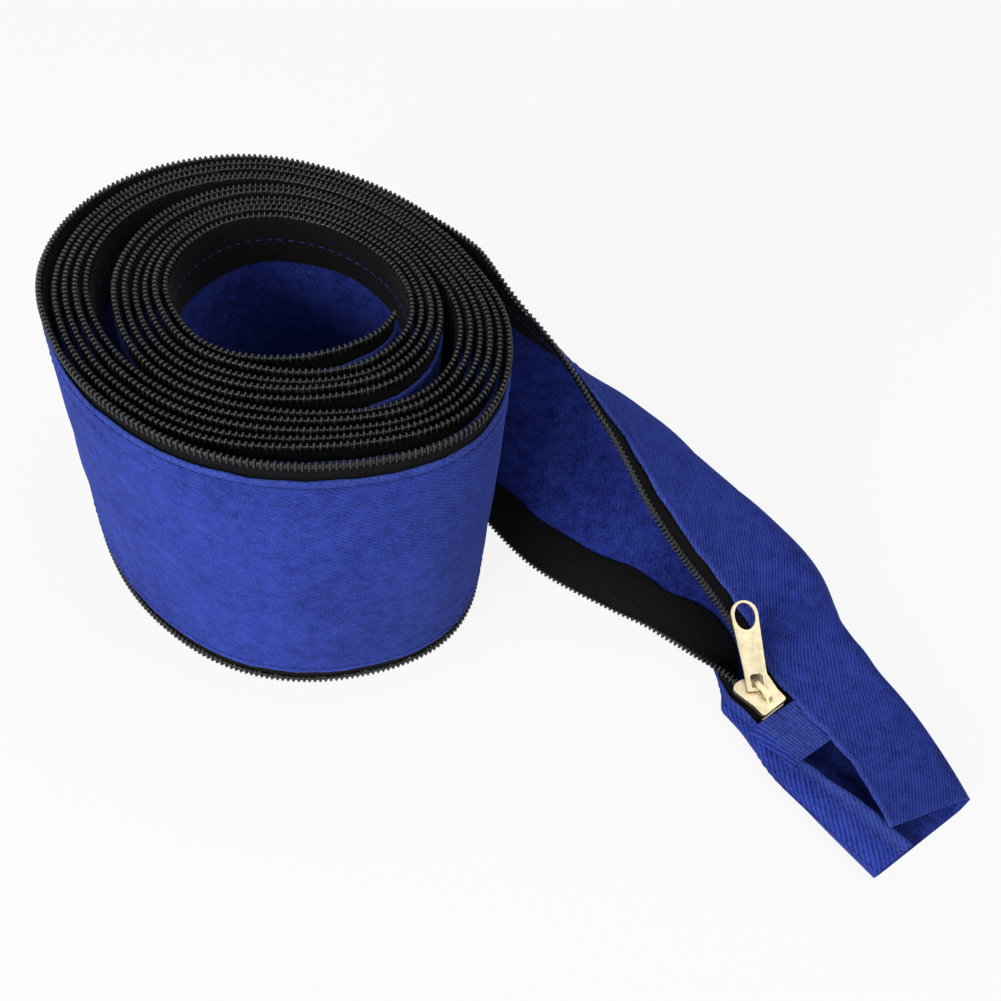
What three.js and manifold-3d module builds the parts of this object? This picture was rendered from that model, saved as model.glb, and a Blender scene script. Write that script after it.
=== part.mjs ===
// Zippered cable sleeve: one long strip of twill with a coil zip along both edges.
// The open strip stands on edge, wound nearly eleven turns. Its outer end runs off the roll,
// folds into a C and then into a flat tube that the slider has closed, as far as the mouth.
// Millimetres, +Z up. The strip is laid out about the centre of the roll, then moved as a whole.

import * as THREE from "three";
import { mergeVertices } from "three/addons/utils/BufferGeometryUtils.js";
import Module from "manifold-3d";

// Strip, measured across its width w from the lower coil's edge to the upper coil's edge,
// and through its thickness d from the inner face (below zero) to the outer face.
const STRIP_WIDTH = 100;
const CLOTH_EDGE = 6.5;
const CLOTH_OUTER = 1.0;
const TAPE_EDGE = 3.3;
const TAPE_WIDTH = 13.7;
const TAPE_INNER = -0.8;
const TAPE_OUTER = -0.3;
const COIL_WIDTH = 3.0;
const COIL_THICKNESS = 1.75;
const COIL_INNER = -0.8;

// Roll, seen from above: the strip winds clockwise from its inner tip to the run-off.
const TIP_DIRECTION = 7;
const RUN_OFF_DIRECTION = 60;
const FULL_TURNS = 10;
const TURNS_COVERED = 11;
const STEPS_PER_TURN = 20;
const TURN_PITCH = 2.2;
const COMPASS_STEP = 30;
// Radius of the hole in the middle and of an eleventh full turn, every 30 degrees from +X.
const HOLE_RADIUS = [30.4, 32.5, 32.2, 32.9, 33.5, 31.7, 29.3, 25.5, 23.7, 22.7, 23.6, 26.1];
const OUTER_RADIUS = [64.6, 57.6, 56.8, 59.6, 64.8, 68, 65.2, 58.9, 56.9, 59.8, 64.4, 70.3];
// Slack places, where one turn stands off the turn inside it.
const SLACK_POCKETS = [
  { afterTurn: 1, direction: 325, spread: 75, depth: 4.5 },
  { afterTurn: 5, direction: 335, spread: 75, depth: 4.0 },
  { afterTurn: 6, direction: 165, spread: 80, depth: 6.0 },
  { afterTurn: 10, direction: 160, spread: 65, depth: 2.5 },
  { afterTurn: 10, direction: 298, spread: 55, depth: 3.0 },
];

// Run-off and tube: sections across the strip, given by the slope of its lip, back and flap
// in degrees from flat (pointing away from the viewer), and by where the two folds lie.
const TAIL_STEPS = 32;
const TAIL = [
  { at: [46.5, 35.5], heading: -40, lip: 90, back: 88, flap: 91, low: 12, high: 57, lowSoft: 9, highSoft: 14 },
  { at: [61.2, 17.3], heading: -41, lip: 79, back: 73, flap: 111, low: 12, high: 60, lowSoft: 9, highSoft: 14 },
  { at: [82.9, -2.6], heading: -40, lip: 59, back: 35, flap: 151, low: 12, high: 62, lowSoft: 9, highSoft: 14 },
  { at: [108.7, -13.6], heading: -40, lip: 73, back: 22, flap: 170, low: 12, high: 58, lowSoft: 9, highSoft: 14 },
  { at: [129.5, -21.4], heading: -43, lip: 46, back: 6, flap: 185, low: 11, high: 55, lowSoft: 8, highSoft: 12.5 },
  { at: [140.9, -32], heading: -47, lip: -45, back: 5, flap: 189, low: 7, high: 58, lowSoft: 6.5, highSoft: 10 },
  { at: [149.2, -37.6], heading: -48, lip: -168, back: 10, flap: 190, low: 10.5, high: 58, lowSoft: 7, highSoft: 8.5,
    gap: [2.6, 0] },
  { at: [158, -44.8], heading: -48, lip: -168, back: 10, flap: 190, low: 11.5, high: 59, lowSoft: 7, highSoft: 8,
    gap: [0.4, 0] },
  { at: [169.8, -55.6], heading: -47, lip: -170, back: 8, flap: 185, low: 14.5, high: 59, lowSoft: 7, highSoft: 7.5,
    gap: [-1, 0.6] },
  { at: [200, -80.5], heading: -48, lip: -172, back: 5, flap: 176, low: 17, high: 58.5, lowSoft: 7.5, highSoft: 7 },
];

// Zip end and mouth.
const SLIDER_AT = 7.62;
const ZIP_END_AT = 8.12;
const TAB_FROM = 8.2;
const TAB_TO = 9.1;
const TAB_THICKNESS = 0.8;

const CLOTH_COLOUR = 0x2c3f9e;
const TAPE_COLOUR = 0x0b0b0d;
const COIL_COLOUR = 0x1b1b1e;
const METAL_COLOUR = 0xd8cfa8;

const RAD = Math.PI / 180;
const lerp = (a, b, t) => a + (b - a) * t;
const clamp01 = (t) => Math.min(1, Math.max(0, t));
const smooth = (t) => {
  const c = clamp01(t);
  return c * c * (3 - 2 * c);
};

// Catmull-Rom value of a closed row of equally spaced numbers at place t.
function around(row, t) {
  const n = row.length;
  const i = Math.floor(t);
  const pick = (k) => row[((k % n) + n) % n];
  const [a, b, c, d] = [pick(i - 1), pick(i), pick(i + 1), pick(i + 2)];
  const f = t - i;
  return b + 0.5 * f * (c - a + f * (2 * a - 5 * b + 4 * c - d + f * (3 * (b - c) + d - a)));
}

// Value of an open row at place t that never swings past the values on either side of it.
function eased(row, t) {
  const i = Math.min(row.length - 2, Math.max(0, Math.floor(t)));
  const rise = (k) => (k < 0 || k > row.length - 2 ? row[i + 1] - row[i] : row[k + 1] - row[k]);
  const slope = (a, b) => (a * b > 0 ? (2 * a * b) / (a + b) : 0);
  const [m0, m1] = [slope(rise(i - 1), rise(i)), slope(rise(i), rise(i + 1))];
  const f = t - i;
  const g = f * f * (3 - 2 * f);
  return lerp(row[i], row[i + 1], g) + f * (1 - f) * (m0 * (1 - f) - m1 * f);
}

// Share of a turn, wound clockwise from the tip, at a compass direction in degrees.
const turnShare = (direction) => ((((TIP_DIRECTION - direction) % 360) + 360) % 360) / 360;

function slack(direction, turns) {
  let sum = 0;
  for (const pocket of SLACK_POCKETS) {
    const off = Math.abs(((direction - pocket.direction + 540) % 360) - 180);
    if (off >= pocket.spread) continue;
    const start = pocket.afterTurn - 1 + turnShare(pocket.direction);
    const reach = Math.cos((off / pocket.spread) * 90 * RAD) ** 2;
    sum += pocket.depth * reach * smooth(turns - start);
  }
  return sum;
}

// Distance from the roll's centre after so many turns from the tip.
function rollRadius(turns) {
  const direction = (((TIP_DIRECTION - 360 * turns) % 360) + 360) % 360;
  const place = direction / COMPASS_STEP;
  const hole = around(HOLE_RADIUS, place);
  const outer = around(OUTER_RADIUS, place);
  const tight = hole + TURNS_COVERED * TURN_PITCH + slack(direction, 2 * TURNS_COVERED);
  const ease = Math.max(0, outer - tight) / TURNS_COVERED;
  return hole + turns * (TURN_PITCH + ease) + slack(direction, turns);
}

// Section across the strip: points [u, z] at widths ws on the line at depth d,
// u level and away from the viewer, z up, both from the lower edge, lowest point at zero.
function sectionCurve(shape) {
  const step = 1;
  const line = [];
  let u = 0;
  let z = 0;
  for (let w = 0; w <= STRIP_WIDTH; w += step) {
    const low = smooth((w - shape.low + shape.lowSoft) / (2 * shape.lowSoft));
    const high = smooth((w - shape.high + shape.highSoft) / (2 * shape.highSoft));
    const slope = (shape.lip + (shape.back - shape.lip) * low + (shape.flap - shape.back) * high) * RAD;
    line.push({ u, z, slope });
    u += Math.cos(slope) * step;
    z += Math.sin(slope) * step;
  }
  // The two edges of a closed section are drawn to the wanted gap along the whole width.
  const last = line[line.length - 1];
  const pull = shape.join;
  const du = (shape.gapU - last.u) * pull;
  const dz = (shape.gapZ - last.z) * pull;
  line.forEach((p, i) => {
    const t = smooth((i / STRIP_WIDTH - 0.2) / 0.6);
    p.u += du * t;
    p.z += dz * t;
  });
  const floor = Math.min(...line.map((p) => p.z - Math.abs(Math.cos(p.slope)) * CLOTH_OUTER));
  line.forEach((p) => (p.z -= floor));
  return line;
}

function sectionPoint(line, w, d) {
  const i = Math.min(STRIP_WIDTH - 1, Math.floor(w));
  const f = w - i;
  const [a, b] = [line[i], line[i + 1]];
  const slope = lerp(a.slope, b.slope, f);
  return [lerp(a.u, b.u, f) + Math.sin(slope) * d, lerp(a.z, b.z, f) - Math.cos(slope) * d];
}

// One station of the strip: a place on the ground plan, a heading and a section.
function makeStation(x, y, heading, shape, straight = false) {
  const away = [-Math.sin(heading), Math.cos(heading)];
  const line = sectionCurve(shape);
  const point = (w, d) => {
    const [u, z] = sectionPoint(line, w, d);
    return new THREE.Vector3(x + away[0] * u, y + away[1] * u, z);
  };
  return { x, y, heading, straight, point };
}

const UPRIGHT = { lip: 90, back: 90, flap: 90, low: 12, high: 57, lowSoft: 9, highSoft: 14, join: 0,
  gapU: 0, gapZ: 0 };

function rollStations() {
  const turns = FULL_TURNS + turnShare(RUN_OFF_DIRECTION);
  const total = Math.round(turns * STEPS_PER_TURN);
  const plan = (t) => {
    const a = (TIP_DIRECTION - 360 * t) * RAD;
    const r = rollRadius(t);
    return [r * Math.cos(a), r * Math.sin(a)];
  };
  const stations = [];
  for (let i = 0; i <= total; i += 1) {
    const t = (turns * i) / total;
    const [x, y] = plan(t);
    const [xa, ya] = plan(t - 0.004);
    const [xb, yb] = plan(t + 0.004);
    stations.push(makeStation(x, y, Math.atan2(yb - ya, xb - xa), UPRIGHT, i < total));
  }
  return stations;
}

// Tail stations by place t: 0 is where the strip leaves the roll, then one per entry of TAIL.
function tailStation(t, start) {
  const rows = [{ at: [start.x, start.y], heading: start.heading / RAD, ...UPRIGHT }, ...TAIL];
  const get = (pick) => eased(rows.map(pick), t);
  const joined = get((r) => (r.gap ? 1 : 0));
  return makeStation(get((r) => r.at[0]), get((r) => r.at[1]), get((r) => r.heading) * RAD, {
    lip: get((r) => r.lip),
    back: get((r) => r.back),
    flap: get((r) => r.flap),
    low: get((r) => r.low),
    high: get((r) => r.high),
    lowSoft: get((r) => r.lowSoft),
    highSoft: get((r) => r.highSoft),
    join: clamp01(joined),
    gapU: get((r) => (r.gap ? r.gap[0] : 3)),
    gapZ: get((r) => (r.gap ? r.gap[1] : 0)),
  });
}

const roll = rollStations();
const rollEnd = roll[roll.length - 1];
const tailAt = (t) => tailStation(t, rollEnd);
const tail = [];
for (let i = 1; i <= TAIL_STEPS; i += 1) tail.push({ t: (TAIL.length * i) / TAIL_STEPS });
tail.forEach((s) => Object.assign(s, tailAt(s.t)));

// Skins between two rows of points that run the same way, with unequal counts allowed.
function zipRows(rowA, rowB, out, flip = false) {
  let i = 0;
  let j = 0;
  while (i < rowA.length - 1 || j < rowB.length - 1) {
    const nextA = (i + 1) / (rowA.length - 1);
    const nextB = (j + 1) / (rowB.length - 1);
    const takeA = j >= rowB.length - 1 || (i < rowA.length - 1 && nextA <= nextB);
    const [a, b] = [rowA[i], rowB[j]];
    const c = takeA ? rowA[(i += 1)] : rowB[(j += 1)];
    if (flip) out.push(b, a, c);
    else out.push(a, b, c);
  }
}

// Closed band: every station gives the outer and the inner row of points of its section.
function band(stations, rowsOf) {
  const tris = [];
  const rows = stations.map(rowsOf);
  const first = rows[0];
  const last = rows[rows.length - 1];
  for (let k = 0; k + 1 < rows.length; k += 1) {
    const [a, b] = [rows[k], rows[k + 1]];
    const ends = (r, i) => [r.outer.at(i), r.inner.at(i)];
    zipRows(a.outer, b.outer, tris);
    zipRows(a.inner, b.inner, tris, true);
    zipRows(ends(b, 0), ends(a, 0), tris);
    zipRows(ends(a, -1), ends(b, -1), tris);
  }
  zipRows(first.inner, first.outer, tris);
  zipRows(last.outer, last.inner, tris);
  return closedGeometry(tris);
}

// Welds triangles, drops empty ones and turns the faces outwards.
function closedGeometry(tris) {
  const flat = new Float32Array(tris.length * 3);
  tris.forEach((p, i) => flat.set([p.x, p.y, p.z], i * 3));
  const raw = new THREE.BufferGeometry();
  raw.setAttribute("position", new THREE.BufferAttribute(flat, 3));
  const welded = mergeVertices(raw, 1e-4);
  const index = Array.from(welded.index.array);
  const kept = [];
  for (let i = 0; i < index.length; i += 3) {
    const [a, b, c] = index.slice(i, i + 3);
    if (a !== b && b !== c && a !== c) kept.push(a, b, c);
  }
  const at = welded.attributes.position;
  const [p, q, r] = [new THREE.Vector3(), new THREE.Vector3(), new THREE.Vector3()];
  let volume = 0;
  for (let i = 0; i < kept.length; i += 3) {
    p.fromBufferAttribute(at, kept[i]);
    q.fromBufferAttribute(at, kept[i + 1]);
    r.fromBufferAttribute(at, kept[i + 2]);
    volume += p.dot(q.cross(r));
  }
  if (volume < 0) kept.reverse();
  welded.setIndex(kept);
  return welded;
}

// Rows of a band that lies between two widths and two depths, with breaks in the folds.
const FOLD_BREAKS = [4.9, 6.5, 8.5, 10.5, 12.5, 14.5, 17, 20, 28, 38, 48, 51.5, 54, 56.5, 59, 61.5, 64, 68,
  76, 83, 88, 93.5];
function bandRows(from, to, inner, outer) {
  const widths = [from, ...FOLD_BREAKS.filter((w) => w > from + 0.5 && w < to - 0.5), to];
  return (station) => {
    const ws = station.straight ? [from, to] : widths;
    return { outer: ws.map((w) => station.point(w, outer)), inner: ws.map((w) => station.point(w, inner)) };
  };
}

const whole = [...roll, ...tail];
const zipped = [...roll, ...tail.filter((s) => s.t < ZIP_END_AT), { ...tailAt(ZIP_END_AT), t: ZIP_END_AT }];
const farEdge = STRIP_WIDTH - CLOTH_EDGE;
const cloth = band(whole, bandRows(CLOTH_EDGE, farEdge, 0, CLOTH_OUTER));
const tapeRows = (from, to) => bandRows(from, to, TAPE_INNER, TAPE_OUTER);
const lowerTape = band(zipped, tapeRows(TAPE_EDGE, TAPE_EDGE + TAPE_WIDTH));
const upperTape = band(zipped, tapeRows(STRIP_WIDTH - TAPE_EDGE - TAPE_WIDTH, STRIP_WIDTH - TAPE_EDGE));
const coilRows = (from, to) => bandRows(from, to, COIL_INNER, COIL_INNER + COIL_THICKNESS);
const lowerCoil = band(zipped, coilRows(0, COIL_WIDTH));
const upperCoil = band(zipped, coilRows(STRIP_WIDTH - COIL_WIDTH, STRIP_WIDTH));

// End tab: from under the flap's edge, across the slit, onto the outside of the lip.
function tabRows(station) {
  const path = [[89, -0.75], [91.5, -0.75], [94, -0.75], [97, -0.4], [99.5, 0.1], [2, 1.0], [4.5, 1.6],
    [7, 1.85], [10, 1.9]];
  const half = TAB_THICKNESS / 2;
  return {
    outer: path.map(([w, d]) => station.point(w, d + half)),
    inner: path.map(([w, d]) => station.point(w, d - half)),
  };
}
const tabStations = [0, 0.25, 0.5, 0.75, 1].map((f) => tailAt(lerp(TAB_FROM, TAB_TO, f)));
const endTab = band(tabStations, tabRows);

// Slider and pull tab, about the middle of the slider: x towards the mouth, y across, z out.
const wasm = await Module();
wasm.setup();
const { Manifold, Mesh } = wasm;

function toSolid(geometry) {
  const bare = geometry.clone();
  Object.keys(bare.attributes).forEach((name) => name !== "position" && bare.deleteAttribute(name));
  const welded = mergeVertices(bare, 1e-4);
  return new Manifold(new Mesh({
    numProp: 3,
    vertProperties: Float32Array.from(welded.attributes.position.array),
    triVerts: Uint32Array.from(welded.index.array),
  }));
}

function toGeometry(solid) {
  const mesh = solid.getMesh();
  const geometry = new THREE.BufferGeometry();
  geometry.setAttribute("position", new THREE.BufferAttribute(Float32Array.from(mesh.vertProperties), 3));
  geometry.setIndex(Array.from(mesh.triVerts));
  return geometry;
}

function slab(shape, z0, z1, segments = 8) {
  const geometry = new THREE.ExtrudeGeometry(shape, { depth: z1 - z0, bevelEnabled: false, curveSegments: segments });
  return geometry.translate(0, 0, z0);
}

const SLIDER_LENGTH = 13;
const SLIDER_FRONT = 11.8;
const SLIDER_REAR = 9.4;
const PLATE_UP = [1.35, 2.45];
const PLATE_DOWN = [-2.3, -1.2];
const RAIL_WIDTH = 0.9;
const RAIL_FOOT = 0.1;
const BAIL_WIDTH = 1.6;

// Shield outline of both plates: round shoulders in front, drawn in to the rear.
function plateOutline(inset = 0) {
  const f = SLIDER_LENGTH / 2 - inset;
  const a = SLIDER_FRONT / 2 - inset;
  const b = SLIDER_REAR / 2 - inset;
  const shape = new THREE.Shape();
  shape.moveTo(f, -b + 1);
  shape.lineTo(f, b - 1);
  shape.quadraticCurveTo(f, b, f - 1, b);
  shape.lineTo(2.5, b);
  shape.quadraticCurveTo(-2.6, a - 0.1, -f + 2.2, a);
  shape.quadraticCurveTo(-f, a, -f, a - 2.2);
  shape.quadraticCurveTo(-f - 0.1, 1.4, -f + 1.2, 0);
  shape.quadraticCurveTo(-f - 0.1, -1.4, -f, -a + 2.2);
  shape.quadraticCurveTo(-f, -a, -f + 2.2, -a);
  shape.quadraticCurveTo(-2.6, -a + 0.1, 2.5, -b);
  shape.lineTo(f - 1, -b);
  shape.quadraticCurveTo(f, -b, f, -b + 1);
  return shape;
}

// Slider: two plates joined by the divider, rails that keep the coils in, and the bail.
function sliderSolid() {
  const plates = toSolid(slab(plateOutline(), PLATE_UP[0], PLATE_UP[1]))
    .add(toSolid(slab(plateOutline(), PLATE_DOWN[0], PLATE_DOWN[1])));
  const rails = toSolid(slab(plateOutline(), RAIL_FOOT, PLATE_UP[0] + 0.2))
    .subtract(toSolid(slab(plateOutline(RAIL_WIDTH), RAIL_FOOT - 1, PLATE_UP[0] + 1)));
  const opening = (length, width, x) =>
    toSolid(new THREE.BoxGeometry(length, width, 2 * (PLATE_UP[0] - RAIL_FOOT)).translate(x, 0, RAIL_FOOT));
  const front = opening(5.2, SLIDER_FRONT - 2 * RAIL_WIDTH, -SLIDER_LENGTH / 2);
  const rear = opening(5, SLIDER_REAR - 2 * RAIL_WIDTH, SLIDER_LENGTH / 2);
  const wedge = new THREE.Shape();
  wedge.moveTo(-5.3, 0);
  wedge.lineTo(-4.6, -0.7);
  wedge.lineTo(-2.2, 0);
  wedge.lineTo(-4.6, 0.7);
  const divider = toSolid(slab(wedge, PLATE_DOWN[1] - 0.2, PLATE_UP[0] + 0.2));
  const arch = new THREE.Shape();
  arch.moveTo(-3.2, PLATE_UP[1] - 0.3);
  arch.lineTo(-3.1, 4.4);
  arch.quadraticCurveTo(-2.7, 5.6, -0.8, 5.6);
  arch.lineTo(2.2, 5.6);
  arch.quadraticCurveTo(4.2, 5.4, 4.7, PLATE_UP[1] - 0.3);
  const eye = new THREE.Path();
  eye.moveTo(-2.0, PLATE_UP[1] + 0.05);
  eye.lineTo(3.5, PLATE_UP[1] + 0.05);
  eye.quadraticCurveTo(3.2, 4.7, 1.8, 4.7);
  eye.lineTo(-0.8, 4.7);
  eye.quadraticCurveTo(-1.9, 4.7, -2.0, 3.9);
  eye.closePath();
  arch.holes.push(eye);
  const bail = new THREE.ExtrudeGeometry(arch, { depth: BAIL_WIDTH, bevelEnabled: false, curveSegments: 5 });
  bail.rotateX(Math.PI / 2).translate(0, BAIL_WIDTH / 2, 0);
  return plates.add(rails.subtract(front).subtract(rear)).add(divider).add(toSolid(bail));
}

// Pull tab in its own frame: its head bar on the y axis, the blade along +x, z out.
const PULL_LENGTH = 28;
const PULL_THICKNESS = 1.0;
const HEAD_BAR = 1.05;
const PULL_SWING = 30;
const PULL_LIFT = 17;
const PULL_HINGE = [-0.675, -0.476, 3.65];
function pullSolid() {
  const root = 3.4;
  const tip = 4.2;
  const end = PULL_LENGTH - HEAD_BAR / 2 - tip;
  const shape = new THREE.Shape();
  shape.moveTo(-HEAD_BAR / 2, -root + 0.8);
  shape.quadraticCurveTo(-HEAD_BAR / 2, -root, 0.6, -root);
  shape.lineTo(6, -root);
  shape.lineTo(end, -tip);
  shape.absarc(end, 0, tip, -Math.PI / 2, Math.PI / 2, false);
  shape.lineTo(6, root);
  shape.lineTo(0.6, root);
  shape.quadraticCurveTo(-HEAD_BAR / 2, root, -HEAD_BAR / 2, root - 0.8);
  const slot = new THREE.Path();
  slot.moveTo(HEAD_BAR / 2, -1.9);
  slot.lineTo(HEAD_BAR / 2, 1.9);
  slot.lineTo(4.0, 1.9);
  slot.lineTo(4.6, 1.2);
  slot.lineTo(4.6, -1.2);
  slot.lineTo(4.0, -1.9);
  slot.closePath();
  const eye = new THREE.Path();
  eye.absellipse(end - 0.8, 0, 4.3, 3.2, 0, Math.PI * 2, true);
  shape.holes.push(slot, eye);
  return toSolid(slab(shape, -PULL_THICKNESS / 2, PULL_THICKNESS / 2, 10));
}

function mesh(name, geometry, colour, roughness, metalness) {
  const material = new THREE.MeshStandardMaterial({ color: colour, roughness, metalness });
  geometry.computeVertexNormals();
  const piece = new THREE.Mesh(geometry, material);
  piece.name = name;
  return piece;
}

// Frame of the slider: midway between the two coils' free edges.
function zipFrame(t) {
  const middle = (at) => {
    const s = tailAt(at);
    return s.point(0, 0).add(s.point(STRIP_WIDTH, 0)).multiplyScalar(0.5);
  };
  const here = tailAt(t);
  const x = middle(t + 0.3).sub(middle(t - 0.3)).normalize();
  const across = here.point(STRIP_WIDTH - 5, 0).sub(here.point(5, 0)).normalize();
  const z = new THREE.Vector3().crossVectors(x, across).normalize();
  const y = new THREE.Vector3().crossVectors(z, x);
  return new THREE.Matrix4().makeBasis(x, y, z).setPosition(middle(t));
}

const product = new THREE.Group();
product.add(mesh("sleeve_cloth", cloth, CLOTH_COLOUR, 0.9, 0));
product.add(mesh("upper_tape", upperTape, TAPE_COLOUR, 0.85, 0));
product.add(mesh("lower_tape", lowerTape, TAPE_COLOUR, 0.85, 0));
product.add(mesh("upper_coil", upperCoil, COIL_COLOUR, 0.45, 0));
product.add(mesh("lower_coil", lowerCoil, COIL_COLOUR, 0.45, 0));
product.add(mesh("end_tab", endTab, CLOTH_COLOUR, 0.9, 0));

const zipEnd = new THREE.Group();
zipFrame(SLIDER_AT).decompose(zipEnd.position, zipEnd.quaternion, zipEnd.scale);
zipEnd.add(mesh("slider", toGeometry(sliderSolid()), METAL_COLOUR, 0.35, 1));
const pull = mesh("pull_tab", toGeometry(pullSolid()), METAL_COLOUR, 0.35, 1);
pull.position.set(...PULL_HINGE);
pull.rotation.set(0, Math.PI + PULL_LIFT * RAD, -PULL_SWING * RAD, "ZYX");
zipEnd.add(pull);
product.add(zipEnd);

// The origin goes to the middle of the footprint, on the surface that the sleeve stands on.
const box = new THREE.Box3().setFromObject(product);
const middle = box.getCenter(new THREE.Vector3());
product.position.set(-middle.x, -middle.y, -box.min.z);
product.updateMatrixWorld(true);
export default product;
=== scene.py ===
"""Zippered cable sleeve, rolled up with one end left out: cloth, zip, stitching and metal in full detail."""

import logging
import math
from dataclasses import dataclass, field
from enum import Enum
from typing import Sequence

import bmesh
import bpy
import numpy as np
from mathutils import Matrix, Vector


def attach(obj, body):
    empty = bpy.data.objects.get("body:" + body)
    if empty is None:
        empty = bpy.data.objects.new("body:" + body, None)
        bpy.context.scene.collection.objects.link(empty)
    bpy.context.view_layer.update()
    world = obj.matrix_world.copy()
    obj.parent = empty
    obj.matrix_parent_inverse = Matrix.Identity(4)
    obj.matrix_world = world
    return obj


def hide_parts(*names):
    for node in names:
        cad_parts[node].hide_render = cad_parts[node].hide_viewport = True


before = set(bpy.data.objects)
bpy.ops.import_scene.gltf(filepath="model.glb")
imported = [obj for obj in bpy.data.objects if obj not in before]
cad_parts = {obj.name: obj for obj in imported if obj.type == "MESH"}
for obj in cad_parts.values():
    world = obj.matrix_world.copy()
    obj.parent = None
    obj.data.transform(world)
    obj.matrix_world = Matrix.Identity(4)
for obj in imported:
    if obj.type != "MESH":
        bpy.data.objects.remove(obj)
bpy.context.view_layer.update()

LOG = logging.getLogger("sleeve")
MM = 0.001


class Side(Enum):
    """One of the two long edges of the strip."""

    LOWER = "lower"
    UPPER = "upper"


class Body(Enum):
    """A CAD body that a piece moves with."""

    SLEEVE = "sleeve"
    PULL = "pull"


def smooth(t: np.ndarray) -> np.ndarray:
    """Ease from 0 to 1, flat outside that range."""
    c = np.clip(t, 0, 1)
    return c * c * (3 - 2 * c)


def around(row: Sequence[float], t: np.ndarray) -> np.ndarray:
    """Catmull-Rom value of a closed row of equally spaced numbers.

    Args:
        row: the numbers, the last followed by the first.
        t: places along the row.

    Returns:
        The value at each place.
    """
    n = len(row)
    i = np.floor(t).astype(int)
    a, b, c, d = (np.take(row, (i + k) % n) for k in (-1, 0, 1, 2))
    f = t - i
    return b + 0.5 * f * (c - a + f * (2 * a - 5 * b + 4 * c - d + f * (3 * (b - c) + d - a)))


def eased(rows: np.ndarray, t: np.ndarray) -> np.ndarray:
    """Values of open rows at places t that never swing past the values on either side.

    Args:
        rows: one row per station, one column per size.
        t: places along the rows.

    Returns:
        One row of sizes per place.
    """
    n = len(rows)
    i = np.clip(np.floor(t).astype(int), 0, n - 2)
    step = np.diff(rows, axis=0)

    def rise(k: np.ndarray) -> np.ndarray:
        """Step from station k to the next, or the nearest one at an end."""
        outside = ((k < 0) | (k > n - 2))[:, None]
        return np.where(outside, step[i], step[np.clip(k, 0, n - 2)])

    def slope(a: np.ndarray, b: np.ndarray) -> np.ndarray:
        """Harmonic mean of two steps of one sign, otherwise zero."""
        total = np.where(np.abs(a + b) < 1e-12, 1.0, a + b)
        return np.where(a * b > 0, 2 * a * b / total, 0)

    m0, m1 = slope(rise(i - 1), rise(i)), slope(rise(i), rise(i + 1))
    f = (t - i)[:, None]
    g = f * f * (3 - 2 * f)
    return rows[i] + (rows[i + 1] - rows[i]) * g + f * (1 - f) * (m0 * (1 - f) - m1 * f)


@dataclass(frozen=True)
class Section:
    """One station of the run-off and tube; the angles are the slopes of the lip, back and flap in degrees."""

    at: tuple[float, float]
    heading: float
    lip: float = 90
    back: float = 90
    flap: float = 90
    low: float = 12
    high: float = 57
    low_soft: float = 9
    high_soft: float = 14
    gap: tuple[float, float] | None = None

    def row(self) -> list[float]:
        """The station's sizes in one row, with the share of closing last."""
        gap = self.gap or (3, 0)
        return [*self.at, self.heading, self.lip, self.back, self.flap, self.low, self.high,
                self.low_soft, self.high_soft, *gap, 1.0 if self.gap else 0.0]


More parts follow.
